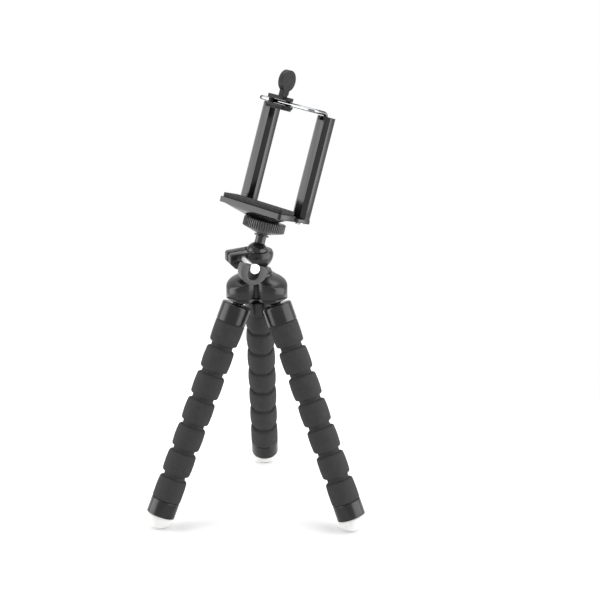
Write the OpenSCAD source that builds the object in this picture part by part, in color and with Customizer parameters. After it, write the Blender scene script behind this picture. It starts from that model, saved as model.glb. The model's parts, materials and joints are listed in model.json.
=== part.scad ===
// Phone tripod: three bendable foam legs on a small hub, a ball head with a side lock, and a sprung phone clamp.
// Millimetres, +Z up. The origin is on the floor, under the middle of the footprint.

/* [Legs] */
// Length of one foam block along the leg
block_len = 14.2; // [10:0.1:20]
// Gap between two foam blocks
groove_len = 3; // [2:0.1:4]
// Outer radius of a foam block
block_r = 9; // [8.5:0.1:9.2]
// Radius of the rounded rims of a foam block
block_edge_r = 1.1; // [0.5:0.1:1.3]
// Radius of the foam ball that joins two blocks
neck_r = 7; // [6:0.1:7]
// Radius of the bendable wire inside a leg
core_r = 1.5; // [1:0.1:2]
// Length of the collar at the top of a leg
collar_len = 11.7; // [9:0.1:16]
// Outer radius of the collar
collar_r = 9.1; // [8.6:0.1:9.3]
// Length of the cap at the foot of a leg
cap_len = 10.2; // [8:0.1:14]
// Outer radius of the foot cap
cap_r = 8.9; // [8.4:0.1:9.4]
// Radius of the round rubber foot
foot_r = 9; // [8:0.1:10]
// Angle of a leg from the vertical
leg_splay = 23; // [15:1:28]

/* [Hub] */
// Distance of a leg's ball from the hub's middle
pivot_r = 12; // [11.8:0.1:12.6]
// Radius of the ball at the top of a leg
pivot_ball_r = 5; // [4.6:0.1:5.2]
// Distance of a lobe's middle from the hub's middle
lobe_offset = 9.5; // [9:0.1:10.5]
// Radius of a hub lobe
lobe_r = 10.4; // [9.8:0.1:10.8]
// Height of the hub shell
hub_shell_h = 14; // [13:0.5:18]
// Thickness of the plate that holds the leg balls in
retainer_t = 2.2; // [1.8:0.1:3]
// Height of the hub's domed top
dome_h = 10; // [4:0.5:11]
// Width of the upright rib in each valley of the hub
valley_rib_w = 4.3; // [3:0.1:6]

/* [Ball head] */
// Radius of the ball
ball_r = 7; // [6:0.1:7.4]
// Height of the ball's middle above the hub
ball_lift = 11.5; // [11:0.1:13]
// Outer radius of the cup round the ball
cup_r = 10; // [9.8:0.1:11]
// Height of the cup's rim above the ball's middle
cup_rim_h = 2; // [2:0.1:3.6]
// Direction of the screw that closes the cup, from straight ahead
cup_turn = 21; // [0:1:60]
// Reach of the clamping ears from the ball's middle
ear_reach = 18.4; // [17:0.1:24]
// Thickness of one ear
ear_t = 5.4; // [4:0.1:6]
// Height of the ears where they leave the cup
ear_h = 10.3; // [9:0.1:11]
// Width of the slot that splits the cup and the ears
cup_slot_w = 1.6; // [0.8:0.1:2]
// Distance of the lock screw from the ball's middle, along the ears
screw_x = 10.7; // [10.7:0.1:14]
// Radius of the lock screw
screw_r = 1.5; // [1.2:0.1:1.8]
// Length of the lock screw in front of the slot
screw_reach = 30.1; // [22:0.1:32]
// Radius of the lock knob
knob_r = 8.2; // [8:0.1:9.2]
// Thickness of the lock knob
knob_t = 6.5; // [4:0.1:7]
// Turn of the lock knob on its screw
knob_turn = 17; // [0:1:90]
// Width of the lock knob's slot
knob_slot_w = 7; // [6.4:0.1:8]
// Radius of the ball's stem
stem_r = 3.2; // [2.8:0.1:3.4]
// Length from the ball's middle to the flange on the stem
stem_len = 10.8; // [10.5:0.1:16]
// Radius of the knurled lock wheel
wheel_r = 13; // [12:0.1:14]
// Height of the lock wheel
wheel_h = 8.8; // [6:0.1:9]
// Height of the knurled band on the lock wheel
wheel_band_h = 5.4; // [3:0.1:5.5]
// Number of knurls round the lock wheel
knurl_count = 56; // [30:1:80]

/* [Head pose] */
// Compass direction that the head leans to, from +X
lean_azimuth = 37; // [0:1:360]
// Angle that the head leans from the vertical
lean_angle = 17.6; // [0:0.1:25]
// Turn of the clamp on the stud, against the lean
clamp_turn = -72; // [-180:1:180]

/* [Phone clamp] */
// Width of the lower jaw
jaw_w = 47.4; // [44:0.1:60]
// Depth of the lower jaw's shelf
jaw_d = 16.7; // [14:0.1:22]
// Thickness of the lower jaw's shelf
jaw_t = 3.3; // [2.5:0.1:4.5]
// Height of the boss under the shelf
boss_h = 4.4; // [3.5:0.1:7]
// Radius of the boss under the shelf
boss_r = 8.6; // [7:0.1:10]
// Thickness of the rubber pad on the lower jaw
jaw_pad_t = 2.6; // [1.5:0.1:4]
// Width of a clamp column
column_w = 9.8; // [8.6:0.1:11]
// Chamfer on the corners of a column
column_chamfer = 2.4; // [1:0.1:2.6]
// Height of a column's solid foot
column_foot_h = 6; // [4:0.1:10]
// Distance between the middles of the columns
column_pitch = 41.2; // [39:0.1:46]
// Distance of the columns behind the stud
column_back = 6.1; // [5.5:0.1:8]
// Radius of the sprung wire frame's wire
wire_r = 1.2; // [0.8:0.05:1.4]
// Radius of the wire frame's bends
wire_bend_r = 4; // [3:0.1:6]
// Distance of the wire's front strand before the stud
wire_front = 8.7; // [6:0.1:12]
// Height of the wire's strand above the columns when closed
wire_rise = 1.7; // [1.6:0.1:6]
// Travel of the sprung wire frame
jaw_travel = 25; // [10:0.5:30]
// Length of a spring that is pressed solid
spring_solid_len = 26; // [15:0.5:35]

/* [Upper grip] */
// Length of the upper grip along the wire
grip_len = 15.8; // [12:0.1:18]
// Depth of the upper grip
grip_d = 10; // [8.5:0.1:12]
// Place of the upper grip along the wire
grip_x = -4.9; // [-7:0.1:7]
// Thickness of the grip's top plate
grip_top_t = 2.3; // [1.8:0.1:3]
// Thickness of the grip's lower plate
grip_low_t = 1.8; // [1.5:0.1:2.6]
// Thickness of the grip's rubber face
grip_pad_t = 1.3; // [1:0.1:2]
// Radius of the thumb disc
thumb_r = 6.4; // [5:0.1:8]
// Thickness of the thumb disc
thumb_t = 3.4; // [2.5:0.1:5]
// Height of the thumb disc's middle above the wire
thumb_rise = 13.2; // [11:0.1:18]
// Place of the thumb disc along the grip
thumb_x = 1.5; // [-3:0.1:3]
// Width of the thumb disc's stem
thumb_stem_w = 5.2; // [4:0.1:7]

/* [Hidden] */
$fn = 48;
leg_azimuths = [210, 330, 90];
// Number of foam blocks on a leg, each a node of its own
block_count = 7;
// Radius of the standard camera thread on top of the stem
stud_r = 3.175;
// Running clearance of a threaded or turning shaft in its hole
running_gap = 0.08;
// Clearance of soft and moulded curved faces
free_gap = 0.3;
// Clearance of a leg's wire in the foam
core_gap = 0.1;
// Clearance of the balls in their sockets
socket_gap = 0.15;
// Overrun of every cut
over = 1;
// Steps in a quarter turn of a drawn arc
arc_steps = 6;

collar_start = pivot_ball_r - 0.1 * pivot_ball_r;
collar_end = collar_start + collar_len;
block_pitch = block_len + groove_len;
blocks_end = collar_end + block_count * block_pitch - groove_len;
leg_reach = blocks_end + cap_len;
leg_neck_r = 0.56 * pivot_ball_r;
foot_circle_r = pivot_r + leg_reach * sin(leg_splay);
pivot_z = foot_r + leg_reach * cos(leg_splay);
hub_y = -foot_circle_r / 4;

// The ball sits a little inside the plate that holds it
retainer_z = pivot_z - 0.26 * pivot_ball_r;
shell_z = retainer_z + retainer_t;
hub_top_z = shell_z + hub_shell_h;
hub_chamfer = 0.25 * lobe_r;
valley_reach = 1.16 * lobe_r;
hub_boss_r = 0.94 * cup_r;
hub_boss_rise = 0.06 * cup_r;
hub_reach = lobe_offset + lobe_r + hub_boss_rise;
crown_z = hub_top_z - hub_boss_rise;
hub_bolt_r = 0.4 * pivot_ball_r;
hub_bolt_head_r = 1.85 * hub_bolt_r;
hub_bolt_head_h = 0.55 * retainer_t;
plate_screw_r = 0.25 * pivot_ball_r;
plate_screw_ring = 0.76 * lobe_r;
plate_screw_head_r = 1.9 * plate_screw_r;
plate_screw_len = 0.55 * hub_shell_h;

ball_z = hub_top_z + ball_lift;
cup_neck_r = 0.62 * cup_r;
cup_flange_r = 0.86 * cup_r;
cup_flange_t = 0.14 * cup_r;
hub_bolt_grip = 0.28 * cup_r;
cup_mouth_r = 0.97 * ball_r;
socket_r = ball_r + socket_gap;
seat_r = 0.72 * ball_r;
seat_t = 0.24 * ball_r;
seat_z = -ball_r - seat_t / 2;
slot_end_x = 0.55 * ball_r;
slot_z = -0.8 * cup_r;
ear_front = cup_slot_w / 2 + ear_t;
ear_corner = 0.29 * ear_h;
ear_drop = 0.14 * ear_h;
ear_top_z = cup_rim_h + 0.13 * ear_h;
screw_z = -0.1 * ball_r;
nut_flat = 1.83 * screw_r;
nut_t = 1.6 * screw_r;
nut_sink = 0.3 * ear_t;
screw_tail = cup_slot_w / 2 + ear_t - nut_sink + nut_t + 0.4 * nut_t;
screw_head_r = 2 * screw_r;
screw_head_t = 1.2 * screw_r;
knob_front = screw_reach - 0.2 * screw_r;
knob_back = knob_front - knob_t;
knob_top = 0.34 * knob_r;
// The knob's round edge is centred a little below the screw
knob_drop = 0.19 * knob_r;
knob_slot_bottom = -0.66 * knob_r;
knob_web = 0.33 * knob_t;

flange_r = 1.4 * stem_r;
flange_t = 0.28 * stem_r;
wheel_z = stem_len + flange_t;
wheel_top_z = wheel_z + wheel_h;
wheel_foot_r = 0.4 * wheel_r;
wheel_bore_r = stud_r + running_gap;
knurl_depth = 0.045 * wheel_r;
knurl_duty_share = 0.5;

// The clamp stands on the wheel
jaw_z = wheel_top_z + free_gap;
shelf_z = jaw_z + boss_h;
pad_z = shelf_z + jaw_t;
shelf_front = wire_front + 0.62 * jaw_d;
shelf_mid = shelf_front - jaw_d / 2;
shelf_back = shelf_front - jaw_d;
shelf_corner = 0.12 * jaw_d;
insert_r = 1.42 * stud_r;
insert_h = 0.8 * (boss_h + jaw_t);
stud_len = wheel_top_z + 0.72 * (boss_h + jaw_t) - wheel_z;
bridge_t = 0.7 * jaw_t;
spring_r = 0.29 * column_w;
spring_wall = 0.45 * spring_r;
column_bore_r = spring_r + free_gap;
column_cap_t = 0.25 * column_w;
stop_t = 1.6 * wire_r;
stop_r = spring_r;
// From a column's foot up: the wire's end, its stop, the spring that gives way by the travel, and the cap
column_z = pad_z - 0.3 * jaw_t;
column_bore_z = column_z + column_foot_h;
wire_end_z = column_bore_z + wire_r;
spring_z = wire_end_z + stop_t;
spring_top_z = spring_z + spring_solid_len + jaw_travel;
column_top_z = spring_top_z + column_cap_t;
column_h = column_top_z - column_z;
// The wire's bend starts in a notch at the top of each column
column_notch_h = wire_bend_r - wire_rise + free_gap;
wire_bore_r = wire_r + running_gap;
wire_z = column_top_z + wire_rise;
column_foot_screw_r = 0.14 * column_w;
pad_margin = 0.06 * jaw_d;
pad_rib_count = 20;
pad_rib_depth = 0.2 * jaw_pad_t;

grip_z = wire_z - wire_r;
grip_low_z = grip_z - grip_low_t;
grip_top_z = wire_z + wire_r;
grip_face_z = grip_low_z - grip_pad_t;
grip_screw_r = 0.09 * grip_d;
grip_screw_y = 0.33 * grip_d;
grip_post_r = 0.16 * grip_d;
thumb_z = wire_z + thumb_rise;

LEG_NODES = ["collar", "foam_1", "foam_2", "foam_3", "foam_4", "foam_5", "foam_6", "foam_7",
    "core_wire", "end_cap", "rubber_foot"];

// Points of an arc about a centre
function arc(centre, r, from, to, steps = arc_steps) =
    [for (i = [0:steps]) centre + r * [cos(from + (to - from) * i / steps), sin(from + (to - from) * i / steps)]];

// Corners of a rectangle with rounded corners, about its middle
function rounded_rect(w, d, r) = concat(
    arc([w / 2 - r, d / 2 - r], r, 0, 90),
    arc([-w / 2 + r, d / 2 - r], r, 90, 180),
    arc([-w / 2 + r, -d / 2 + r], r, 180, 270),
    arc([w / 2 - r, -d / 2 + r], r, 270, 360));

// Corners of a rectangle with cut corners, about its middle
function cut_rect(w, c) = [
    [w / 2, w / 2 - c], [w / 2 - c, w / 2], [-w / 2 + c, w / 2], [-w / 2, w / 2 - c],
    [-w / 2, -w / 2 + c], [-w / 2 + c, -w / 2], [w / 2 - c, -w / 2], [w / 2, -w / 2 + c]];

// A shaft or hole between two heights
module rod(r, z0, z1) {
    translate([0, 0, z0]) cylinder(r = r, h = z1 - z0);
}

// Frames: what is drawn inside is placed on the part that carries it
module leg_frame(i) {
    translate([0, hub_y, 0]) rotate([0, 0, leg_azimuths[i]])
        translate([pivot_r, 0, pivot_z]) rotate([0, 180 - leg_splay, 0]) children();
}

module hub_frame() {
    translate([0, hub_y, 0]) children();
}

module cup_frame() {
    translate([0, hub_y, ball_z]) rotate([0, 0, cup_turn]) children();
}

// The lock screw's axis is this frame's Z, pointing at the knob
module screw_frame() {
    cup_frame() translate([-screw_x, 0, screw_z]) rotate([90, 0, 0]) children();
}

module head_frame() {
    translate([0, hub_y, ball_z]) rotate([0, 0, lean_azimuth]) rotate([0, lean_angle, 0]) children();
}

module clamp_frame() {
    head_frame() rotate([0, 0, clamp_turn]) children();
}

// Legs

module leg_collar(i) {
    shoulder = 0.22 * collar_r;
    color("#1b1b1d") leg_frame(i) difference() {
        union() {
            sphere(r = pivot_ball_r);
            rod(leg_neck_r, 0, collar_start + over);
            rotate_extrude() polygon(concat(
                [[0, collar_start]],
                arc([collar_r - shoulder, collar_start + shoulder], shoulder, -90, 0),
                [[collar_r, collar_end], [0, collar_end]]));
        }
        rod(core_r + core_gap, collar_start, collar_end + over);
    }
}

module foam_block(i, k) {
    top = collar_end + k * block_pitch;
    bottom = top + block_len;
    has_socket = k > 0;
    has_neck = k < block_count - 1;
    color("#3d3d3f") leg_frame(i) difference() {
        union() {
            rotate_extrude() polygon(concat(
                [[0, top]],
                arc([block_r - block_edge_r, top + block_edge_r], block_edge_r, -90, 0),
                arc([block_r - block_edge_r, bottom - block_edge_r], block_edge_r, 0, 90),
                [[0, bottom]]));
            if (has_neck) translate([0, 0, bottom + groove_len / 2]) sphere(r = neck_r);
        }
        if (has_socket) translate([0, 0, top - groove_len / 2]) sphere(r = neck_r + free_gap);
        rod(core_r + core_gap, top - groove_len - neck_r, bottom + groove_len + neck_r);
    }
}

module leg_core_wire(i) {
    color("silver") leg_frame(i) rod(core_r, collar_start + over, blocks_end + cap_len / 2);
}

module leg_end_cap(i) {
    lip = 0.1 * cap_r;
    plug_r = 0.55 * foot_r;
    color("#1b1b1d") leg_frame(i) difference() {
        rotate_extrude() polygon(concat(
            [[0, blocks_end]],
            arc([cap_r - lip, blocks_end + lip], lip, -90, 0),
            [[cap_r, leg_reach], [0, leg_reach]]));
        rod(core_r + core_gap, blocks_end - over, blocks_end + cap_len / 2);
        rod(plug_r, leg_reach - 0.3 * cap_len, leg_reach + over);
    }
}

module leg_rubber_foot(i) {
    plug_r = 0.55 * foot_r;
    color("#e8e8e6") leg_frame(i) {
        intersection() {
            translate([0, 0, leg_reach]) sphere(r = foot_r);
            rod(foot_r + over, leg_reach, leg_reach + foot_r + over);
        }
        rod(plug_r, leg_reach - 0.3 * cap_len, leg_reach);
    }
}

// Hub

// Three round lobes, cut to an outline that is turned about the hub's middle
module round_lobes(z0, z1, outline) {
    intersection() {
        union() for (a = leg_azimuths) rotate([0, 0, a]) translate([lobe_offset, 0, 0]) rod(lobe_r, z0, z1);
        rotate_extrude() polygon(outline);
    }
}

// An upright rib in each valley between the lobes
module valley_ribs(z0, z1) {
    for (a = leg_azimuths) rotate([0, 0, a + 180]) translate([0, -valley_rib_w / 2, z0])
        cube([valley_reach, valley_rib_w, z1 - z0]);
}

module leg_ball_places() {
    for (a = leg_azimuths) rotate([0, 0, a]) translate([pivot_r, 0, pivot_z]) children();
}

module plate_screw_places() {
    for (a = leg_azimuths) rotate([0, 0, a + 180]) translate([plate_screw_ring, 0, 0]) children();
}

module hub_shell() {
    color("#202022") hub_frame() difference() {
        union() {
            round_lobes(shell_z, crown_z, concat(
                [[0, shell_z - over], [hub_reach, shell_z - over]],
                [for (t = [0:arc_steps]) [hub_reach * cos(90 * t / arc_steps),
                    crown_z - dome_h + dome_h * sin(90 * t / arc_steps)]]));
            valley_ribs(shell_z, crown_z - dome_h / 2);
            rod(hub_boss_r, shell_z, hub_top_z);
        }
        leg_ball_places() sphere(r = pivot_ball_r + socket_gap);
        rod(hub_bolt_r, retainer_z, hub_top_z + over);
        plate_screw_places() rod(plate_screw_r, retainer_z, retainer_z + plate_screw_len);
    }
}

module hub_retainer() {
    color("#1b1b1d") hub_frame() difference() {
        union() {
            round_lobes(retainer_z, shell_z, [
                [0, retainer_z - over], [hub_reach - hub_chamfer, retainer_z - over],
                [hub_reach - hub_chamfer, retainer_z], [hub_reach, retainer_z + 0.7 * hub_chamfer],
                [hub_reach, shell_z + over], [0, shell_z + over]]);
            valley_ribs(retainer_z, shell_z);
        }
        leg_ball_places() {
            sphere(r = pivot_ball_r + socket_gap);
            rod(pivot_ball_r + socket_gap, 0, pivot_ball_r);
        }
        rod(hub_bolt_r, retainer_z - over, shell_z + over);
        rod(hub_bolt_head_r, retainer_z - over, retainer_z + hub_bolt_head_h);
        plate_screw_places() {
            rod(plate_screw_r, retainer_z - over, shell_z + over);
            rod(plate_screw_head_r, retainer_z - over, retainer_z + hub_bolt_head_h);
        }
    }
}

module hub_plate_screws() {
    color("silver") hub_frame() plate_screw_places() {
        rod(plate_screw_r, retainer_z, retainer_z + plate_screw_len);
        rod(plate_screw_head_r, retainer_z, retainer_z + hub_bolt_head_h);
    }
}

module hub_bolt() {
    color("silver") hub_frame() {
        rod(hub_bolt_r, retainer_z, hub_top_z + hub_bolt_grip);
        rod(hub_bolt_head_r, retainer_z, retainer_z + hub_bolt_head_h);
    }
}

// Ball head

// Side view of the ears, which reach out along -X, slope down and have a cut lower corner
module ear_outline() {
    polygon([
        [0, ear_top_z], [-ear_reach + ear_corner / 3, ear_top_z - ear_drop],
        [-ear_reach, ear_top_z - ear_drop - ear_corner / 3], [-ear_reach, ear_top_z - ear_h + ear_corner],
        [-ear_reach + ear_corner, ear_top_z - ear_h], [0, ear_top_z - ear_h]]);
}

// A hexagon with a flat side towards the cup, which clears it
module nut_form(h) {
    rotate([0, 0, 30]) cylinder(r = nut_flat / cos(30), h = h, $fn = 6);
}

module ball_cup() {
    foot = -ball_lift;
    color("#202022") cup_frame() difference() {
        union() {
            rotate_extrude() polygon(concat(
                [[0, foot], [cup_flange_r, foot], [cup_flange_r, foot + cup_flange_t],
                    [cup_neck_r, foot + cup_flange_t], [cup_neck_r, -0.78 * cup_r]],
                arc([0, 0], cup_r, -51, 0, 2 * arc_steps),
                [[0.97 * cup_r, cup_rim_h / 2], [0.92 * cup_r, cup_rim_h], [0, cup_rim_h]]));
            translate([0, ear_front, 0]) rotate([90, 0, 0]) linear_extrude(2 * ear_front) ear_outline();
        }
        sphere(r = socket_r);
        rod(cup_mouth_r, 0, cup_rim_h + over);
        rod(seat_r + running_gap, seat_z, 0);
        translate([0, 0, cup_rim_h]) rod(ball_r + free_gap, 0, ear_h);
        translate([-ear_reach - over, -cup_slot_w / 2, slot_z])
            cube([ear_reach + over + slot_end_x, cup_slot_w, 2 * ear_h]);
        translate([-screw_x, 0, screw_z]) rotate([90, 0, 0]) {
            rod(screw_r + running_gap, -ear_front - over, ear_front + over);
            translate([0, 0, -ear_front - over]) nut_form(nut_sink + over);
        }
        rod(hub_bolt_r, foot - over, foot + hub_bolt_grip + running_gap);
    }
}

module ball_seat() {
    color("#d8d8d0") cup_frame() difference() {
        rod(seat_r, seat_z, seat_z + 2 * seat_t);
        sphere(r = ball_r + socket_gap / 2);
    }
}

module clamp_nut() {
    color("silver") screw_frame() difference() {
        translate([0, 0, -ear_front - nut_t + nut_sink]) nut_form(nut_t);
        rod(screw_r + running_gap, -ear_front - nut_t - over, 0);
    }
}

module lock_screw() {
    color("#d5d7da") screw_frame() {
        rod(screw_r, -screw_tail, screw_reach - screw_head_t);
        rod(screw_head_r, screw_reach - screw_head_t, screw_reach);
    }
}

module lock_knob() {
    flat_x = sqrt(knob_r * knob_r - knob_top * knob_top);
    lean = atan2(knob_top, flat_x);
    color("#5c5c5f") screw_frame() difference() {
        rotate([0, 0, -knob_turn]) translate([0, -knob_drop, knob_back]) linear_extrude(knob_t)
            polygon(arc([0, 0], knob_r, 180 - lean, 360 + lean, 5 * arc_steps));
        rotate([0, 0, -knob_turn]) translate([0, -knob_drop, knob_back + knob_web]) linear_extrude(knob_t)
            polygon(concat(
                [[-knob_slot_w / 2, knob_top + over]],
                arc([0, knob_slot_bottom + knob_slot_w / 2], knob_slot_w / 2, 180, 360, 2 * arc_steps),
                [[knob_slot_w / 2, knob_top + over]]));
        rod(screw_r, knob_back - over, knob_front);
    }
}

module ball_stem() {
    color("#1b1b1d") head_frame() {
        sphere(r = ball_r);
        rod(stem_r, 0, stem_len);
        rod(flange_r, stem_len, wheel_z);
        rod(stud_r, wheel_z, wheel_z + stud_len);
    }
}

// Outline of a ring of straight knurls
function knurls(r, depth, n) = [for (i = [0:n - 1], s = [0, 1, 2, 3])
    let (a = 360 / n * (i + [0, 0.15, knurl_duty_share, knurl_duty_share + 0.15][s]),
        rr = s == 1 || s == 2 ? r : r - depth) rr * [cos(a), sin(a)]];

module lock_wheel() {
    band_z = wheel_top_z - wheel_band_h;
    color("#39393b") head_frame() difference() {
        union() {
            translate([0, 0, band_z]) linear_extrude(wheel_band_h)
                polygon(knurls(wheel_r, knurl_depth, knurl_count));
            rotate_extrude() polygon(concat(
                [[0, wheel_z + running_gap], [wheel_foot_r, wheel_z + running_gap]],
                [for (t = [1:arc_steps]) [
                    wheel_foot_r + (wheel_r - 2 * knurl_depth - wheel_foot_r) * sin(90 * t / arc_steps),
                    wheel_z + (band_z - wheel_z) * (1 - cos(90 * t / arc_steps)) + running_gap * (1 - t / arc_steps)]],
                [[0, band_z]]));
        }
        rod(wheel_bore_r, wheel_z - over, wheel_top_z + over);
    }
}

// Phone clamp

module column_places() {
    for (side = [-1, 1]) translate([side * column_pitch / 2, column_back, 0]) children();
}

module lower_jaw() {
    bridge_w = column_pitch + column_w;
    bridge_back = column_back + column_w / 2;
    bridge_d = bridge_back + shelf_back + over;
    color("#1d1d1f") clamp_frame() difference() {
        union() {
            translate([0, -shelf_mid, shelf_z]) linear_extrude(jaw_t)
                polygon(rounded_rect(jaw_w, jaw_d, shelf_corner));
            hull() {
                translate([0, -shelf_mid, shelf_z - over / 4]) linear_extrude(over / 2)
                    polygon(rounded_rect(0.86 * jaw_w, 0.8 * jaw_d, shelf_corner));
                translate([0, -boss_r / 2, jaw_z]) linear_extrude(over / 2)
                    polygon(rounded_rect(2 * boss_r, boss_r, shelf_corner));
            }
            rod(boss_r, jaw_z, shelf_z + jaw_t);
            translate([0, bridge_back - bridge_d / 2, column_z - bridge_t]) linear_extrude(bridge_t)
                polygon(rounded_rect(bridge_w, bridge_d, column_chamfer));
        }
        rod(stud_r + running_gap, jaw_z - over, pad_z + over);
        rod(insert_r, jaw_z - over, jaw_z + insert_h);
        translate([-column_pitch / 2 - column_w, column_back - column_w / 2, column_z])
            cube([column_pitch + 2 * column_w, 2 * column_w, jaw_t + over]);
        column_places() rod(column_foot_screw_r, column_z - bridge_t - over, column_z + over);
    }
}

module jaw_insert() {
    color("#c9a24a") clamp_frame() difference() {
        rod(insert_r, jaw_z, jaw_z + insert_h);
        rod(stud_r + running_gap, jaw_z - over, jaw_z + insert_h + over);
    }
}

module jaw_pad() {
    pad_w = jaw_w - 2 * pad_margin;
    pad_d = jaw_d - 2 * pad_margin;
    rib_pitch = (pad_w - 4 * pad_margin) / pad_rib_count;
    color("#2a2a2b") clamp_frame() translate([0, -shelf_mid, pad_z]) difference() {
        linear_extrude(jaw_pad_t) polygon(rounded_rect(pad_w, pad_d, shelf_corner));
        for (i = [0:pad_rib_count - 1])
            translate([(i + 0.5 - pad_rib_count / 2) * rib_pitch - rib_pitch / 4, -pad_d / 2 + 2 * pad_margin,
                jaw_pad_t - pad_rib_depth])
                cube([rib_pitch / 2, pad_d - 4 * pad_margin, pad_rib_depth + over]);
    }
}

module column(side) {
    color("#2c2c2e") clamp_frame() translate([side * column_pitch / 2, column_back, 0]) difference() {
        translate([0, 0, column_z]) linear_extrude(column_h) polygon(cut_rect(column_w, column_chamfer));
        rod(column_bore_r, column_bore_z, spring_top_z);
        rod(wire_bore_r, column_bore_z, column_top_z + over);
        translate([-wire_bore_r, -column_w, column_top_z - column_notch_h])
            cube([2 * wire_bore_r, column_w, column_notch_h + over]);
        rod(column_foot_screw_r, column_z - over, column_bore_z - column_foot_screw_r);
    }
}

module column_screws() {
    color("silver") clamp_frame() column_places() {
        rod(column_foot_screw_r, column_z - bridge_t, column_bore_z - 2 * column_foot_screw_r);
        rod(1.8 * column_foot_screw_r, column_z - bridge_t - column_foot_screw_r, column_z - bridge_t);
    }
}

module clamp_spring(side) {
    color("silver") clamp_frame() translate([side * column_pitch / 2, column_back, 0]) difference() {
        rod(spring_r, spring_z, spring_top_z);
        rod(spring_r - spring_wall, spring_z - over, column_top_z);
    }
}

// One side of the sprung wire: up out of the column, forward, and across to the middle
module wire_half() {
    x = column_pitch / 2;
    run = column_back + wire_front;
    translate([x, column_back, 0]) rod(wire_r, wire_end_z, wire_z - wire_bend_r);
    translate([x, column_back - wire_bend_r, wire_z - wire_bend_r]) rotate([0, -90, 0])
        rotate_extrude(angle = 90) translate([wire_bend_r, 0]) circle(r = wire_r);
    translate([x, column_back - wire_bend_r, wire_z]) rotate([90, 0, 0])
        cylinder(r = wire_r, h = run - 2 * wire_bend_r);
    translate([x - wire_bend_r, wire_bend_r - wire_front, wire_z]) rotate([0, 0, -90])
        rotate_extrude(angle = 90) translate([wire_bend_r, 0]) circle(r = wire_r);
    translate([0, -wire_front, wire_z]) rotate([0, 90, 0]) cylinder(r = wire_r, h = x - wire_bend_r);
}

module wire_frame() {
    color("#d5d7da") clamp_frame() {
        wire_half();
        mirror([1, 0, 0]) wire_half();
    }
}

module wire_stops() {
    color("silver") clamp_frame() column_places() difference() {
        rod(stop_r, wire_end_z, spring_z);
        rod(wire_r, wire_end_z - over, spring_z + over);
    }
}

// Upper grip

module grip_frame() {
    clamp_frame() translate([grip_x, -wire_front, 0]) children();
}

module grip_screw_places() {
    for (side = [-1, 1]) translate([side * grip_len / 4, side * grip_screw_y, 0]) children();
}

// The lower plate has a post before and one behind the wire, which carry the top plate
module grip_plate() {
    color("#1d1d1f") grip_frame() difference() {
        union() {
            translate([0, 0, grip_low_z]) linear_extrude(grip_low_t - 2 * running_gap)
                polygon(rounded_rect(grip_len, grip_d, shelf_corner));
            grip_screw_places() rod(grip_post_r, grip_low_z, grip_top_z + 2 * running_gap);
        }
        grip_screw_places() rod(grip_screw_r, grip_low_z - over, grip_top_z + over);
    }
}

module grip_tab() {
    seat = grip_top_z + 2 * running_gap;
    top = seat + grip_top_t;
    color("#232325") grip_frame() difference() {
        union() {
            translate([0, 0, seat]) linear_extrude(grip_top_t)
                polygon(rounded_rect(grip_len, grip_d, 2 * shelf_corner));
            translate([thumb_x - thumb_t / 2, -thumb_stem_w / 2, top - grip_top_t / 2])
                cube([thumb_t, thumb_stem_w, thumb_z - top]);
            translate([thumb_x - thumb_t / 2, 0, thumb_z]) rotate([0, 90, 0]) cylinder(r = thumb_r, h = thumb_t);
        }
        grip_screw_places() {
            rod(grip_screw_r, seat - over, top + over);
            rod(1.8 * grip_screw_r, top - grip_screw_r, top + over);
        }
    }
}

module grip_pad() {
    color("#2a2a2b") grip_frame() translate([0, 0, grip_face_z]) linear_extrude(grip_pad_t)
        polygon(rounded_rect(grip_len - shelf_corner / 2, grip_d - shelf_corner / 2, shelf_corner));
}

module grip_screws() {
    top = grip_top_z + 2 * running_gap + grip_top_t;
    color("silver") grip_frame() grip_screw_places() {
        rod(grip_screw_r, grip_low_z, top);
        rod(1.8 * grip_screw_r, top - grip_screw_r, top);
    }
}

module leg_piece(i, piece) {
    if (piece == "collar") leg_collar(i);
    if (piece == "core_wire") leg_core_wire(i);
    if (piece == "end_cap") leg_end_cap(i);
    if (piece == "rubber_foot") leg_rubber_foot(i);
    for (k = [0:block_count - 1]) if (piece == str("foam_", k + 1)) foam_block(i, k);
}

hub_shell();
hub_retainer();
hub_plate_screws();
hub_bolt();
ball_cup();
ball_seat();
clamp_nut();
lock_screw();
lock_knob();
ball_stem();
lock_wheel();
lower_jaw();
jaw_insert();
jaw_pad();
column(-1);  // column_left
column(1);  // column_right
column_screws();
clamp_spring(-1);  // spring_left
clamp_spring(1);  // spring_right
wire_frame();
wire_stops();
grip_plate();
grip_tab();
grip_pad();
grip_screws();
for (i = [0:len(leg_azimuths) - 1], piece = LEG_NODES)
    leg_piece(i, piece);
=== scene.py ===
import json
import math

import bmesh
import bpy
from mathutils import Matrix, Vector, noise


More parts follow.
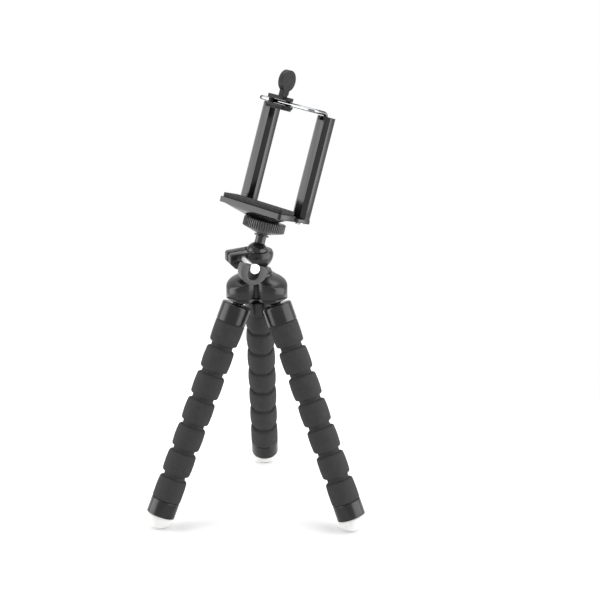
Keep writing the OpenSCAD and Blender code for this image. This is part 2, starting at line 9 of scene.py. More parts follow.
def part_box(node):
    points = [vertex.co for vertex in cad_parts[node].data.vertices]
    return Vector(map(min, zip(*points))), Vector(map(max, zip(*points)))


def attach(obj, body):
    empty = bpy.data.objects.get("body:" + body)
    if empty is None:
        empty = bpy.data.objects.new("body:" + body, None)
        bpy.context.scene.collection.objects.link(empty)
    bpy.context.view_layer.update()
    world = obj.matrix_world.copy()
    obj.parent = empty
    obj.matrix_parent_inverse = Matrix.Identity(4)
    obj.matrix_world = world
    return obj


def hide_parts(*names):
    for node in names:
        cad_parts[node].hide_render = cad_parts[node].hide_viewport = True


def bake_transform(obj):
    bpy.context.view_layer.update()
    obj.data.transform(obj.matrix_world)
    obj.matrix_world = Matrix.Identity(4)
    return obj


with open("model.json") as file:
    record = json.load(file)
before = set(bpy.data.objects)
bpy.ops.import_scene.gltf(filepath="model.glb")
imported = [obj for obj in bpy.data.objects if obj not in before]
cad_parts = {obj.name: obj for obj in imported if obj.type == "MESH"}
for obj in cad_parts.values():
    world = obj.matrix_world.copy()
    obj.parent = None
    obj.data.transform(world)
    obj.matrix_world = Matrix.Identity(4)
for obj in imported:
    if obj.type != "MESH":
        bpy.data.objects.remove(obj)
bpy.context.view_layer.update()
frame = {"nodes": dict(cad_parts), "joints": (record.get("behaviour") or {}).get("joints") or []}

MM = 0.001
LEGS = (1, 2, 3)
BLOCKS = 7

JOINTS = {joint["name"]: joint for joint in frame["joints"]}


# Frames, each with its own axes, taken from the joints

def joint_place(name):
    return Vector(JOINTS[name]["pos_m"])


def joint_axis(name):
    return Vector(JOINTS[name]["axis"]).normalized()


def axes_frame(origin, z_axis, x_hint):
    """A frame at origin whose Z is z_axis and whose X is as near to x_hint as it can be."""
    z = z_axis.normalized()
    y = z.cross(x_hint).normalized()
    x = y.cross(z)
    matrix = Matrix((x, y, z)).transposed().to_4x4()
    matrix.translation = origin
    return matrix


UP = Vector((0, 0, 1))
BALL = joint_place("ball_tilt")
HEAD = axes_frame(BALL, joint_axis("clamp_spin"), joint_axis("grip_slide"))
SCREW_AXIS = joint_axis("lock_knob_turn")
SCREW = axes_frame(joint_place("lock_knob_turn"), SCREW_AXIS, UP.cross(SCREW_AXIS))
HUB = Matrix.Translation((0, BALL.y, 0))


def leg_frame(leg):
    """Z runs down the leg from its top ball, and Y is the axis that it swings about."""
    top = joint_place(f"leg_{leg}_swing")
    down = joint_place(f"leg_{leg}_bend_1") - top
    swing = joint_axis(f"leg_{leg}_swing")
    return axes_frame(top, down, swing.cross(down))


def span(node, place):
    """The lowest and highest corners of a CAD node in a frame of its own."""
    inverse = place.inverted()
    points = [inverse @ v.co for v in frame["nodes"][node].data.vertices]
    low = Vector([min(p[i] for p in points) for i in range(3)])
    high = Vector([max(p[i] for p in points) for i in range(3)])
    return low, high


# Materials

def new_material(name, color, roughness, metallic=0.0, specular=0.5):
    material = bpy.data.materials.new(name)
    material.use_nodes = True
    shader = material.node_tree.nodes["Principled BSDF"]
    shader.inputs["Base Color"].default_value = (*color, 1)
    shader.inputs["Roughness"].default_value = roughness
    shader.inputs["Metallic"].default_value = metallic
    shader.inputs["Specular IOR Level"].default_value = specular
    return material, material.node_tree, shader


def noise_node(tree, per_metre, detail=4.0):
    """Noise in object space, with so many features per metre."""
    place = tree.nodes.new("ShaderNodeTexCoord")
    texture = tree.nodes.new("ShaderNodeTexNoise")
    texture.inputs["Scale"].default_value = per_metre
    texture.inputs["Detail"].default_value = detail
    texture.inputs["Roughness"].default_value = 0.6
    tree.links.new(place.outputs["Object"], texture.inputs["Vector"])
    return texture.outputs["Fac"]


def ramp(tree, factor, low, high, start=0.3, end=0.7):
    """A colour ramp from low to high, each a grey value or a colour."""
    node = tree.nodes.new("ShaderNodeValToRGB")
    for element, value, place in zip(node.color_ramp.elements, (low, high), (start, end)):
        element.color = (*value, 1) if isinstance(value, tuple) else (value, value, value, 1)
        element.position = place
    tree.links.new(factor, node.inputs["Fac"])
    return node.outputs["Color"]


def vary(tree, shader, socket, per_metre, low, high):
    """Lets noise drive a socket of the shader between low and high."""
    tree.links.new(ramp(tree, noise_node(tree, per_metre), low, high), shader.inputs[socket])


def bump(tree, shader, height, distance, strength=1.0):
    """Adds a bump whose height in metres is distance, on top of any bump made before."""
    node = tree.nodes.new("ShaderNodeBump")
    node.inputs["Strength"].default_value = strength
    node.inputs["Distance"].default_value = distance
    tree.links.new(height, node.inputs["Height"])
    socket = shader.inputs["Normal"]
    if socket.is_linked:
        tree.links.new(socket.links[0].from_socket, node.inputs["Normal"])
    tree.links.new(node.outputs["Normal"], socket)


def moulded_plastic(name, dark, light, rough, specular=0.5, grain=0.02 * MM):
    """Moulded plastic with a faint mottle, uneven gloss and a fine surface grain."""
    material, tree, shader = new_material(name, light, rough[1], specular=specular)
    vary(tree, shader, "Base Color", 160, dark, light)
    vary(tree, shader, "Roughness", 420, *rough)
    bump(tree, shader, noise_node(tree, 2600, detail=2), grain)
    return material


def thumb_material():
    """Dull moulded plastic with fine slanting grip lines."""
    material = moulded_plastic("thumb_black", (0.005, 0.005, 0.0052), (0.012, 0.012, 0.0126),
                               rough=(0.35, 0.5), specular=0.16)
    tree = material.node_tree
    shader = tree.nodes["Principled BSDF"]
    place = tree.nodes.new("ShaderNodeTexCoord")
    lines = tree.nodes.new("ShaderNodeTexWave")
    lines.bands_direction = "DIAGONAL"
    lines.inputs["Scale"].default_value = 480.0
    lines.inputs["Distortion"].default_value = 0.3
    tree.links.new(place.outputs["Object"], lines.inputs["Vector"])
    bump(tree, shader, lines.outputs["Fac"], 0.07 * MM)
    return material


def foam_material():
    """Closed-cell foam: a dull dark grey with fine open pores and a soft mottle."""
    material, tree, shader = new_material("foam", (0.027, 0.027, 0.028), 0.95, specular=0.2)
    mottle = ramp(tree, noise_node(tree, 260), (0.032, 0.032, 0.033), (0.038, 0.038, 0.039))
    pores = ramp(tree, noise_node(tree, 2400, detail=3), 0.82, 1.1, start=0.32, end=0.68)
    mix = tree.nodes.new("ShaderNodeMix")
    mix.data_type = "RGBA"
    mix.blend_type = "MULTIPLY"
    mix.inputs["Factor"].default_value = 1.0
    tree.links.new(mottle, mix.inputs["A"])
    tree.links.new(pores, mix.inputs["B"])
    tree.links.new(mix.outputs["Result"], shader.inputs["Base Color"])
    vary(tree, shader, "Roughness", 900, 0.82, 1.0)
    bump(tree, shader, noise_node(tree, 700), 0.2 * MM, strength=0.5)
    bump(tree, shader, noise_node(tree, 3200, detail=2), 0.12 * MM, strength=0.8)
    return material


def rubber_material():
    """Dull black rubber with a fine grain and a dusty bloom."""
    material, tree, shader = new_material("grip_rubber", (0.02, 0.02, 0.021), 0.8, specular=0.3)
    vary(tree, shader, "Base Color", 240, (0.009, 0.009, 0.0095), (0.018, 0.018, 0.019))
    vary(tree, shader, "Roughness", 700, 0.62, 0.85)
    bump(tree, shader, noise_node(tree, 2400, detail=3), 0.06 * MM)
    return material


def foot_material():
    """Milky soft rubber that lets a little light in."""
    material, tree, shader = new_material("foot_rubber", (0.8, 0.8, 0.79), 0.4, specular=0.4)
    vary(tree, shader, "Base Color", 120, (0.68, 0.68, 0.672), (0.74, 0.74, 0.731))
    shader.inputs["Subsurface Weight"].default_value = 1.0
    shader.inputs["Subsurface Scale"].default_value = 6 * MM
    shader.inputs["Subsurface Radius"].default_value = (1.0, 1.0, 0.95)
    vary(tree, shader, "Roughness", 500, 0.32, 0.48)
    bump(tree, shader, noise_node(tree, 1800, detail=2), 0.03 * MM)
    return material


def metal_material(name, dark, light, rough, edge=1.0):
    """Metal with faint drawn marks and uneven polish. Where edge is below 1, a painted dark reflection shades
    it towards its outline.
    """
    material, tree, shader = new_material(name, light, rough[1], metallic=1.0)
    # edge tints the reflection at grazing angles: below 1 it paints a dark reflection, a painted shade, along
    # the metal's outline.
    shader.inputs["Specular Tint"].default_value = (edge, edge, edge, 1.0)
    vary(tree, shader, "Base Color", 300, dark, light)
    vary(tree, shader, "Roughness", 900, *rough)
    bump(tree, shader, noise_node(tree, 3000, detail=2), 0.01 * MM)
    return material


def make_materials():
    """Every material, under the short name that the pieces ask for."""
    black = {"dark": (0.005, 0.005, 0.0054), "light": (0.008, 0.008, 0.0084)}
    return {
        "gloss": moulded_plastic("gloss_black", **black, rough=(0.21, 0.28), specular=0.33, grain=0.01 * MM),
        "stem": moulded_plastic("gloss_black_metal", (0.006, 0.006, 0.0065), (0.01, 0.01, 0.0105),
                                rough=(0.12, 0.2), specular=0.4),
        "clamp": moulded_plastic("clamp_black", **black, rough=(0.16, 0.24), specular=0.4, grain=0.006 * MM),
        "wheel": moulded_plastic("wheel_black", (0.055, 0.055, 0.057), (0.075, 0.075, 0.078),
                                 rough=(0.34, 0.5), specular=0.4),
        "knob": moulded_plastic("knob_grey", (0.055, 0.055, 0.057), (0.068, 0.068, 0.071),
                                rough=(0.4, 0.55), specular=0.35),
        "thumb": thumb_material(),
        "nylon": moulded_plastic("nylon", (0.68, 0.68, 0.64), (0.78, 0.78, 0.74), rough=(0.35, 0.5)),
        "foam": foam_material(),
        "rubber": rubber_material(),
        "foot": foot_material(),
        "screw": metal_material("bright_screw", (0.68, 0.69, 0.7), (0.78, 0.78, 0.79), rough=(0.42, 0.52)),
        # The chrome's edge of 0.02 paints a dark reflection, a painted shade, along the wire's outline.
        "chrome": metal_material("chrome", (0.2, 0.205, 0.21), (0.27, 0.275, 0.28), rough=(0.06, 0.12),
                                 edge=0.02),
        "steel": metal_material("steel", (0.5, 0.5, 0.52), (0.66, 0.66, 0.68), rough=(0.25, 0.42)),
        "core": metal_material("core_metal", (0.6, 0.6, 0.61), (0.75, 0.75, 0.76), rough=(0.3, 0.5)),
        "brass": metal_material("brass", (0.62, 0.44, 0.17), (0.75, 0.57, 0.26), rough=(0.2, 0.38)),
    }


MATERIALS = make_materials()


# Mesh tools

def shade(mesh, sharp_angle):
    """Smooth shading that breaks at edges sharper than an angle in degrees."""
    for polygon in mesh.polygons:
        polygon.use_smooth = True
    mesh.set_sharp_from_angle(angle=math.radians(sharp_angle))


def add_object(name, mesh, material, sharp_angle=35):
    obj = bpy.data.objects.new(name, mesh)
    bpy.context.scene.collection.objects.link(obj)
    mesh.materials.clear()
    mesh.materials.append(MATERIALS[material])
    shade(mesh, sharp_angle)
    return obj


def mesh_from(name, points, faces, place):
    mesh = bpy.data.meshes.new(name)
    mesh.from_pydata([place @ Vector(p) for p in points], [], faces)
    work = bmesh.new()
    work.from_mesh(mesh)
    bmesh.ops.recalc_face_normals(work, faces=work.faces)
    work.to_mesh(mesh)
    work.free()
    return mesh


def apply_modifiers(obj):
    """Applies every modifier on the object, so that its mesh is final."""
    bpy.context.view_layer.update()
    evaluated = obj.evaluated_get(bpy.context.evaluated_depsgraph_get())
    mesh = bpy.data.meshes.new_from_object(evaluated)
    obj.modifiers.clear()
    obj.data = mesh


def bevel(obj, width, segments=2):
    """Rounds the edges where two faces meet at more than 30 degrees."""
    modifier = obj.modifiers.new("Bevel", "BEVEL")
    modifier.width = width
    modifier.segments = segments
    modifier.limit_method = "ANGLE"
    modifier.angle_limit = math.radians(30)
    modifier.use_clamp_overlap = True
    apply_modifiers(obj)
    shade(obj.data, sharp_angle=40)


def arc_points(centre, radius, start, end, steps):
    """Points along an arc, from one angle in degrees to another."""
    turns = [math.radians(start + (end - start) * i / steps) for i in range(steps + 1)]
    return [(centre[0] + radius * math.cos(turn), centre[1] + radius * math.sin(turn)) for turn in turns]


def soften(profile, radius):
    """Rounds the inner corners of an open profile by a small radius."""
    steps = 4
    side_share = 0.45
    nearly_straight = math.radians(172)
    out = [profile[0]]
    for before, corner, after in zip(profile, profile[1:], profile[2:]):
        a = Vector(before) - Vector(corner)
        b = Vector(after) - Vector(corner)
        reach = min(radius, side_share * a.length, side_share * b.length)
        turn = a.angle(b) if a.length and b.length else math.pi
        if reach <= 0 or turn > nearly_straight:
            out.append(corner)
            continue
        start = Vector(corner) + a.normalized() * reach
        end = Vector(corner) + b.normalized() * reach
        for i in range(steps + 1):
            t = i / steps
            p = start * (1 - t) ** 2 + Vector(corner) * 2 * t * (1 - t) + end * t * t
            out.append((p.x, p.y))
    out.append(profile[-1])
    return out


def ring_faces(low, high):
    """The faces between two rings of point numbers, one of which may be a single point."""
    count = max(len(low), len(high))
    faces = []
    for i in range(count):
        j = (i + 1) % count
        corners = (low[i % len(low)], low[j % len(low)], high[j % len(high)], high[i % len(high)])
        faces.append(tuple(dict.fromkeys(corners)))
    return faces


def lathe(name, place, profile, material, segments=72, sharp_angle=35, wave=None):
    """Turns a profile of (radius, height) points about the frame's Z.

    A profile with both ends off the axis is closed. wave(angle, radius, height) gives each point its radius.
    """
    axis_width = 1e-7
    points, rings = [], []
    for r, z in profile:
        first = len(points)
        if r < axis_width:
            points.append((0, 0, z))
        else:
            for i in range(segments):
                turn = 2 * math.pi * i / segments
                reach = wave(turn, r, z) if wave else r
                points.append((reach * math.cos(turn), reach * math.sin(turn), z))
        rings.append(list(range(first, len(points))))
    pairs = list(zip(rings, rings[1:]))
    if len(rings[0]) > 1 and len(rings[-1]) > 1:
        pairs.append((rings[-1], rings[0]))
    faces = [face for low, high in pairs for face in ring_faces(low, high)]
    return add_object(name, mesh_from(name, points, faces, place), material, sharp_angle)


def keep(obj, body, *nodes, slot=None):
    """Hangs a piece on the body that it rides on, and hides the CAD nodes that it stands for."""
    if nodes:
        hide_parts(*nodes)
    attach(obj, body)


def dressed(node, material, body, width, segments=2):
    """Puts in a CAD node's place a copy of it with its flat faces merged and its edges rounded."""
    weld = 0.002 * MM
    mesh = frame["nodes"][node].data.copy()
    work = bmesh.new()
    work.from_mesh(mesh)
    bmesh.ops.remove_doubles(work, verts=work.verts, dist=weld)
    bmesh.ops.dissolve_limit(work, angle_limit=math.radians(1), verts=work.verts, edges=work.edges)
    bmesh.ops.recalc_face_normals(work, faces=work.faces)
    work.to_mesh(mesh)
    work.free()
    obj = add_object(f"{node}_shape", mesh, material)
    bevel(obj, width, segments)
    keep(obj, body, node)


# Legs

GROOVE_SHARE = 0.175
BLOCK_SEGMENTS = 48


def foam_profile(radius, z0, z1, bore, plain_start, plain_end):
    """A block's outline: soft rims and a faint crown. An end that meets the collar or the cap stays plain."""
    crown = 0.25 * MM
    edge = 1.6 * MM
    plain_edge = 0.9 * MM
    middle = (z0 + z1) / 2
    profile = [(bore, z0)]
    for end, plain, turns in ((z0, plain_start, (-90, 0)), (z1, plain_end, (0, 90))):
        rim = plain_edge if plain else edge
        side = radius if plain else radius - crown
        inward = 1 if end < middle else -1
        shoulder = end + inward * rim
        arc = arc_points((side - rim, shoulder), rim, *turns, 5)
        swell = radius - side
        bulge = [(side + swell * math.sin(math.pi / 2 * share), shoulder + (middle - shoulder) * share)
                 for share in (0.25, 0.5, 0.75)]
        profile += arc + bulge if inward > 0 else [(radius, middle)] + bulge[::-1] + arc
    return profile + [(bore, z1)]


def ripple(seed, depth):
    """A slow unevenness of a soft round piece."""
    around = 2
    per_metre = 120
    shift = 7.3 * seed

    def wave(angle, radius, height):
        place = Vector((math.cos(angle) * around, math.sin(angle) * around, height * per_metre + shift))
        return radius + depth * noise.noise(place)
    return wave


def part_body(leg, number):
    """The body that carries a leg's foam block of that number."""
    return f"leg_{leg}" if number == 1 else f"leg_{leg}_part_{number}"


def build_leg(leg):
    """Foam blocks on a wire, with a soft neck in each groove, a collar above and a cap with a foot below."""
    place = leg_frame(leg)
    name = f"leg_{leg}"
    core_r = span(f"{name}_core_wire", place)[1].x
    bore = core_r + 0.1 * MM
    grooves = [(place.inverted() @ joint_place(f"{name}_bend_{n}")).z for n in range(1, BLOCKS)]
    groove = GROOVE_SHARE * (grooves[1] - grooves[0])

    for k in range(1, BLOCKS + 1):
        body = part_body(leg, k)
        low, high = span(f"{name}_foam_{k}", place)
        z0 = low.z if k == 1 else grooves[k - 2] + groove / 2
        z1 = high.z if k == BLOCKS else grooves[k - 1] - groove / 2
        profile = foam_profile(high.x, z0, z1, bore, k == 1, k == BLOCKS)
        block = lathe(f"{name}_block_{k}", place, profile, "foam", BLOCK_SEGMENTS,
                      wave=ripple(leg * 10 + k, 0.06 * MM))
        keep(block, body, f"{name}_foam_{k}", slot="foam")
        if k < BLOCKS:
            build_neck(leg, k, place, grooves[k - 1], groove)
        core = lathe(f"{name}_core_{k}", place, [(0, z0), (core_r, z0), (core_r, z1), (0, z1)], "core", 16)
        replaced = [f"{name}_core_wire"] if k == 1 else []
        keep(core, body, *replaced, slot="core_metal")
    build_collar(leg, place)
    build_foot(leg, place)


def build_neck(leg, k, place, middle, groove):
    """The foam in a groove."""
    neck_r = 7 * MM
    inner_r = 5 * MM
    dip = 0.25 * MM
    reach = groove / 2 + 1.2 * MM
    rows = 12
    profile = [(inner_r, middle - reach)]
    for i in range(rows + 1):
        t = 2 * i / rows - 1
        profile.append((neck_r - dip * (1 - t * t), middle + t * reach))
    profile.append((inner_r, middle + reach))
    neck = lathe(f"leg_{leg}_neck_{k}", place, profile, "foam", BLOCK_SEGMENTS)
    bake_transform(neck)


def build_collar(leg, place):
    """The leg's top ball, its short neck and the collar, in one turned piece."""
    name = f"leg_{leg}_collar"
    low, high = span(name, place)
    radius = high.x
    ball_r = -low.z
    start = 0.9 * ball_r
    shoulder = 0.14 * radius
    neck_r = 0.56 * ball_r
    lip = 0.25 * MM
    lip_start = high.z - 1.6 * MM
    join = math.degrees(math.acos(neck_r / ball_r))
    profile = (
        arc_points((0, 0), ball_r, -90, join, 16)
        + [(neck_r, start)]
        + arc_points((radius - shoulder, start + shoulder), shoulder, -90, 0, 6)
        + soften([(radius, lip_start), (radius, high.z - lip), (radius - lip, high.z)], 0.2 * MM)
        + [(0, high.z)]
    )
    keep(lathe(f"{name}_shape", place, profile, "gloss"), f"leg_{leg}", name, slot="gloss_black")


def build_foot(leg, place):
    """The glossy cap at the leg's end and the round rubber foot in it."""
    body = part_body(leg, BLOCKS)
    cap = f"leg_{leg}_end_cap"
    low, high = span(cap, place)
    radius = high.x
    top_lip = 0.5 * MM
    end_lip = 0.15 * MM
    profile = soften(
        [(0, low.z), (radius - top_lip, low.z), (radius, low.z + top_lip), (radius, high.z - end_lip),
         (radius - end_lip, high.z), (0, high.z)], 0.3 * MM)
    keep(lathe(f"{cap}_shape", place, profile, "gloss"), body, cap, slot="gloss_black")

    foot = f"leg_{leg}_rubber_foot"
    foot_r = span(foot, place)[1].x
    ring = 0.5 * MM
    dome = arc_points((0, high.z), foot_r, 0, 90, 18)
    profile = [(0, high.z), (foot_r - ring, high.z)] + dome[1:]
    keep(lathe(f"{foot}_shape", place, profile, "foot"), body, foot, slot="foot_rubber")


# Hub

HUB_HIGH = span("hub_shell", HUB)[1]
HUB_FLOOR_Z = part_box("hub_retainer")[1][2]
BOSS_RISE = 0.6 * MM
DOME_TOP_Z = HUB_HIGH.z - BOSS_RISE
DOME_H = 10 * MM
LOBE_R = 10.4 * MM


def smooth_max(values, width):
    """The highest of some values, blended where two come within width."""
    top = max(values)
    return top + width * math.log(sum(math.exp((v - top) / width) for v in values))


def lobe_directions():
    """The way from the hub's middle to each leg's top ball, level with the floor."""
    directions = []
    for leg in LEGS:
        pivot = HUB.inverted() @ joint_place(f"leg_{leg}_swing")
        pivot.z = 0
        directions.append(pivot.normalized())
    return directions


def hub_reach(turn, centres):
    """How far the hub's wall stands out at an angle, with soft corners between the lobes."""
    corner = 0.25 * MM
    direction = Vector((math.cos(turn), math.sin(turn), 0))
    reaches = []
    for centre in centres:
        along = direction.dot(centre)
        across = (centre - direction * along).length
        if across < LOBE_R:
            reaches.append(along + math.sqrt(LOBE_R ** 2 - across ** 2))
    return smooth_max(reaches, corner)


def build_hub_shell(lobes):
    """Three round lobes under one dome, which meets their walls in a crisp arched edge."""
    steps = 240
    edge_r = 0.6 * MM
    foot_edge = 0.15 * MM
    inner_share = 0.3
    dome_reach = HUB_HIGH.y + BOSS_RISE
    centres = [direction * (HUB_HIGH.y - LOBE_R) for direction in lobes]
    turns = [2 * math.pi * i / steps for i in range(steps)]
    wall = [(turn, hub_reach(turn, centres)) for turn in turns]
    points, rings = [], []

    def roof(x, y):
        return DOME_TOP_Z - DOME_H * (1 - math.sqrt(max(1 - (x * x + y * y) / dome_reach ** 2, 0)))

    def add_ring(inset, share=1.0, z=None, drop=0.0):
        """A ring of points inside the wall, at height z or else at drop below the roof."""
        first = len(points)
        for turn, reach in wall:
            r = (reach - inset) * share
            x, y = r * math.cos(turn), r * math.sin(turn)
            points.append((x, y, roof(x, y) - drop if z is None else z))
        rings.append(list(range(first, len(points))))

    add_ring(0, inner_share, z=HUB_FLOOR_Z)
    add_ring(foot_edge, z=HUB_FLOOR_Z)
    add_ring(0, z=HUB_FLOOR_Z + foot_edge)
    for degrees in (0, 22.5, 45, 67.5, 90):
        turn = math.radians(degrees)
        add_ring(edge_r * (1 - math.cos(turn)), drop=edge_r * (1 - math.sin(turn)))
    for share in (0.94, 0.88, 0.8, 0.7, 0.6, 0.5, 0.4, inner_share):
        add_ring(edge_r, share)
    faces = [face for low, high in zip(rings, rings[1:] + rings[:1]) for face in ring_faces(low, high)]
    name = "hub_shell_shape"
    shell = add_object(name, mesh_from(name, points, faces, HUB), "gloss", sharp_angle=60)
    keep(shell, "base", "hub_shell", slot="gloss_black")


def build_hub_boss():
    """The round boss on the dome, which the ball cup stands on."""
    boss_r = 9.4 * MM
    low_z = DOME_TOP_Z - 4 * MM
    edge = 0.3 * MM
    profile = soften([(0, low_z), (boss_r, low_z), (boss_r, HUB_HIGH.z - edge), (boss_r - edge, HUB_HIGH.z),
                      (0, HUB_HIGH.z)], 0.25 * MM)
    keep(lathe("hub_boss", HUB, profile, "gloss"), "base", slot="gloss_black")


def build_hub_ribs(lobes):
    """The upright rib in each corner between two lobes."""
    near = 8 * MM
    far = 12.06 * MM
    half_w = 4.3 * MM / 2
    rib_top = DOME_TOP_Z - DOME_H / 2
    outline = ((near, -half_w), (far, -half_w), (far, half_w), (near, half_w))
    points = [(x, y, z) for z in (HUB_FLOOR_Z, rib_top) for x, y in outline]
    faces = [(0, 1, 2, 3), (4, 5, 6, 7), (0, 1, 5, 4), (1, 2, 6, 5), (2, 3, 7, 6), (3, 0, 4, 7)]
    for number, direction in enumerate(lobes, 1):
        place = axes_frame(HUB.translation, UP, -direction)
        rib = add_object(f"hub_rib_{number}", mesh_from("rib", points, faces, place), "gloss")
        bevel(rib, 0.9 * MM, 4)
        keep(rib, "base", slot="gloss_black")


def build_hub():
    lobes = lobe_directions()
    build_hub_shell(lobes)
    build_hub_boss()
    build_hub_ribs(lobes)
    dressed("hub_retainer", "gloss", "base", width=0.15 * MM)


# Ball head

def build_lock_screw():
    """The bright screw, with its thick round head."""
    low, high = span("lock_screw", SCREW)
    screw_r = 1.5 * MM
    head_r = high.x
    head_z = high.z - 1.2 * screw_r
    profile = soften([(0, low.z), (screw_r, low.z), (screw_r, head_z), (head_r, head_z),
                      (head_r, high.z), (0, high.z)], 0.35 * MM)
    keep(lathe("lock_screw_shape", SCREW, profile, "screw", 48), "lock", "lock_screw", slot="chrome")


def build_ball_stem():
    """The ball, its stem, the thin flange on it and the stud above, in one turned piece."""
    low, high = span("ball_stem", HEAD)
    ball_r = -low.z
    stem_r = 3.2 * MM
    flange_r = 1.4 * stem_r
    flange_z = 10.8 * MM
    flange_top_z = flange_z + 0.28 * stem_r
    stud_r = 3.175 * MM
    tip = 0.4 * MM
    join = math.acos(stem_r / ball_r)
    stem_z = ball_r * math.sin(join) + 0.3 * MM
    profile = (
        arc_points((0, 0), ball_r, -90, math.degrees(join) - 4, 28)
        + soften([(stem_r, stem_z), (stem_r, flange_z), (flange_r, flange_z), (flange_r, flange_top_z),
                  (stud_r, flange_top_z), (stud_r, high.z - tip), (stud_r - tip, high.z)], 0.2 * MM)
        + [(0, high.z)]
    )
    keep(lathe("ball_stem_shape", HEAD, profile, "stem"), "ball", "ball_stem", slot="gloss_black_metal")


def build_wheel():
    """A knurled band over a plain cone, which leaves the stem's flange open to view."""
    low, high = span("lock_wheel", HEAD)
    radius = high.x
    knurls = 56
    depth = 0.045 * radius
    bore = 3.255 * MM
    foot_r = 3.9 * MM
    foot_z = low.z + 0.4 * MM
    foot_edge = 0.1 * MM
    band_z = high.z - 5.4 * MM
    edge = 0.3 * MM

    def knurl(angle, r, z):
        """Cuts the band into ridges with sloping sides, and leaves the cone and the bore plain."""
        if r < radius - 1.5 * depth:
            return r
        slope, ridge_end = 0.15, 0.65
        phase = angle / (2 * math.pi) * knurls % 1
        rise = min(max(min(phase / slope, (ridge_end - phase) / slope), 0), 1)
        return r - depth * (1 - rise)

    profile = [(bore, foot_z), (foot_r - 2 * foot_edge, foot_z), (foot_r, foot_z + foot_edge),
               (radius - 1.6 * depth, band_z - edge), (radius - edge, band_z), (radius, band_z + edge),
               (radius, high.z - edge), (radius - edge, high.z), (bore, high.z)]
    wheel = lathe("lock_wheel_shape", HEAD, profile, "wheel", 8 * knurls, sharp_angle=30, wave=knurl)
    keep(wheel, "wheel", "lock_wheel", slot="wheel_black")


def build_ball_head():
    dressed("ball_cup", "gloss", "base", width=0.2 * MM)
    build_lock_screw()
    dressed("lock_knob", "knob", "lock", width=0.45 * MM, segments=3)
    build_ball_stem()
    build_wheel()


# Clamp

def build_clamp():
    dressed("lower_jaw", "clamp", "clamp", width=0.35 * MM)
    dressed("jaw_pad", "rubber", "clamp", width=0.15 * MM)
    for side in ("left", "right"):
        dressed(f"column_{side}", "clamp", "clamp", width=0.25 * MM)
    dressed("grip_plate", "thumb", "grip", width=0.5 * MM, segments=3)
    dressed("grip_pad", "rubber", "grip", width=0.2 * MM)
    dressed("grip_tab", "thumb", "grip", width=0.5 * MM, segments=3)


def tube_along(name, path, radius, material):
    """A round tube along a smooth path."""
    sides = 20
    points, rings = [], []
    normal = None
    for i, p in enumerate(path):
        before = path[max(i - 1, 0)]
        after = path[min(i + 1, len(path) - 1)]
        along = (after - before).normalized()
        if normal is None:
            normal = along.orthogonal().normalized()
        normal = (normal - along * normal.dot(along)).normalized()
        side = along.cross(normal)
        rings.append(list(range(len(points), len(points) + sides)))
        for s in range(sides):
            turn = 2 * math.pi * s / sides
            points.append(p + (normal * math.cos(turn) + side * math.sin(turn)) * radius)
    faces = [face for low, high in zip(rings, rings[1:]) for face in ring_faces(low, high)]
    faces += [tuple(rings[0]), tuple(rings[-1])]
    return add_object(name, mesh_from(name, points, faces, Matrix()), material)


def build_wire():
    """The sprung wire: two legs in the columns, bent forward and joined by a strand across the front."""
    low, high = span("wire_frame", HEAD)
    wire_r = 1.2 * MM
    bend_r = 4 * MM
    bend_steps = 12
    x, back, top = high.x - wire_r, high.y - wire_r, high.z - wire_r
    front = low.y + wire_r
    half = [Vector((x, back, low.z)), Vector((x, back, (low.z + top) / 2))]
    half += [Vector((x, *p)) for p in arc_points((back - bend_r, top - bend_r), bend_r, 0, 90, bend_steps)]
    half += [Vector((x, (back + front) / 2, top))]
    half += [Vector((*p, top)) for p in arc_points((x - bend_r, front + bend_r), bend_r, 0, -90, bend_steps)]
    other = [Vector((-p.x, p.y, p.z)) for p in reversed(half)]
    path = [HEAD @ p for p in half + other]
    keep(tube_along("wire_frame_shape", path, wire_r, "chrome"), "wire", "wire_frame", slot="chrome")


def build_springs():
    """The springs in the columns, between the wire's stops and the columns' tops."""
    for side in ("left", "right"):
        node = f"spring_{side}"
        spring = add_object(f"{node}_shape", frame["nodes"][node].data.copy(), "steel")
        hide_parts(node)
        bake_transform(spring)


def paint_nodes():
    """Gives the CAD nodes that are shown as they are their material."""
    steel_nodes = ("hub_plate_screws", "hub_bolt", "clamp_nut", "column_screws", "grip_screws", "wire_stops")
    paints = {node: "steel" for node in steel_nodes}
    paints["ball_seat"] = "nylon"
    paints["jaw_insert"] = "brass"
    for node, material in paints.items():
        for slot in frame["nodes"][node].material_slots:
            slot.material = MATERIALS[material]


# Scene

def build_floor():
    """A pale floor, which is white in this light and keeps the object's shadow."""
    material = bpy.data.materials.new("floor")
    material.use_nodes = True
    tree = material.node_tree
    tree.nodes.clear()
    output = tree.nodes.new("ShaderNodeOutputMaterial")
    diffuse = tree.nodes.new("ShaderNodeBsdfDiffuse")
    diffuse.inputs["Color"].default_value = (0.95, 0.95, 0.95, 1)
    tree.links.new(diffuse.outputs["BSDF"], output.inputs["Surface"])
    radius = 0.3
    sides = 96
    mesh = bpy.data.meshes.new("floor")
    mesh.from_pydata([(x, y, 0) for x, y in arc_points((0, 0), radius, 0, 360, sides)[:-1]], [],
                     [tuple(range(sides))])
    mesh.materials.append(material)
    floor = bpy.data.objects.new("floor", mesh)
    bpy.context.scene.collection.objects.link(floor)


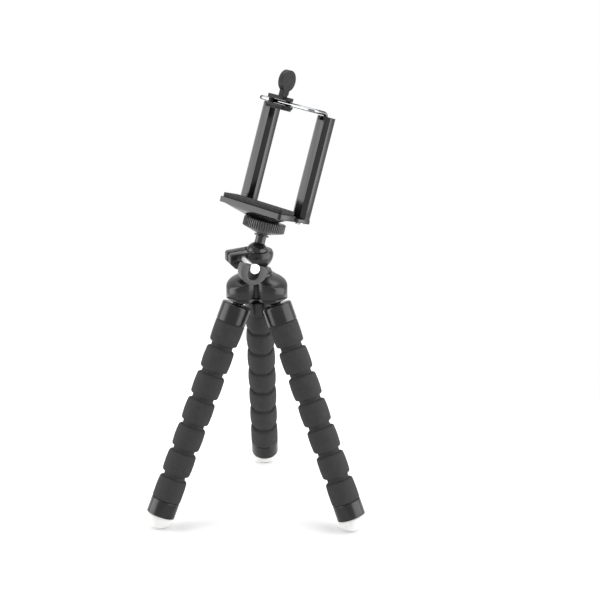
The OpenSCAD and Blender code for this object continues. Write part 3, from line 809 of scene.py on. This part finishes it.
def build_world():
    """A soft even light, which is plain white where the camera, metal or glass sees it."""
    world = bpy.data.worlds.new("studio")
    bpy.context.scene.world = world
    world.use_nodes = True
    tree = world.node_tree
    back = tree.nodes["Background"]
    back.inputs["Color"].default_value = (1, 1, 1, 1)
    path = tree.nodes.new("ShaderNodeLightPath")
    seen = path.outputs["Is Camera Ray"]
    for ray in ("Is Glossy Ray", "Is Transmission Ray"):
        either = tree.nodes.new("ShaderNodeMath")
        either.operation = "MAXIMUM"
        tree.links.new(seen, either.inputs[0])
        tree.links.new(path.outputs[ray], either.inputs[1])
        seen = either.outputs["Value"]
    pick = tree.nodes.new("ShaderNodeMapRange")
    pick.inputs["To Min"].default_value = 0.22
    pick.inputs["To Max"].default_value = 1.0
    tree.links.new(seen, pick.inputs["Value"])
    tree.links.new(pick.outputs["Result"], back.inputs["Strength"])


def add_light(name, place, target, size, watts):
    data = bpy.data.lights.new(name, "AREA")
    data.shape = "RECTANGLE"
    data.size, data.size_y = size
    data.energy = watts
    light = bpy.data.objects.new(name, data)
    direction = Vector(target) - Vector(place)
    light.location = place
    light.rotation_euler = direction.to_track_quat("-Z", "Y").to_euler()
    bpy.context.scene.collection.objects.link(light)


def build_lights():
    """Tall lights at both sides, a strip that carries the right one further back, and one overhead."""
    side_z = 0.3
    side_h = 1.5
    aim = (0, 0, side_z)
    add_light("left", (-0.98, -0.2, side_z), aim, (0.9, side_h), watts=18)
    add_light("right", (0.91, -0.41, side_z), aim, (0.9, side_h), watts=17)
    add_light("right_strip", (1.05, 0.17, side_z), aim, (0.32, side_h), watts=5.5)
    add_light("top", (0, 0.3, 1.2), (0, 0, 0.1), (1.4, 1.0), watts=16.5)


def build_camera():
    """The photograph's view: distance, aim and lens were fitted to the three legs."""
    azimuth, elevation = math.radians(1.94), math.radians(17.91)
    distance = 0.9518
    aim_height = 0.1378
    aim_side = 0.0261
    lens_share = 1552.0 / 600
    sensor = 36.0
    right = Vector((math.cos(azimuth), math.sin(azimuth), 0))
    back = Vector((math.sin(azimuth) * math.cos(elevation), -math.cos(azimuth) * math.cos(elevation),
                   math.sin(elevation)))
    up = back.cross(right)
    target = Vector((0, BALL.y, aim_height)) + right * aim_side
    data = bpy.data.cameras.new("camera")
    data.sensor_width = sensor
    data.lens = lens_share * sensor
    camera = bpy.data.objects.new("camera", data)
    matrix = Matrix((right, up, back)).transposed().to_4x4()
    matrix.translation = target + back * distance
    camera.matrix_world = matrix
    bpy.context.scene.collection.objects.link(camera)
    bpy.context.scene.camera = camera


build_camera()
build_world()
build_floor()
build_lights()
for number in LEGS:
    build_leg(number)
build_hub()
build_ball_head()
build_clamp()
build_wire()
build_springs()
paint_nodes()
bpy.context.scene.view_settings.view_transform = "Standard"
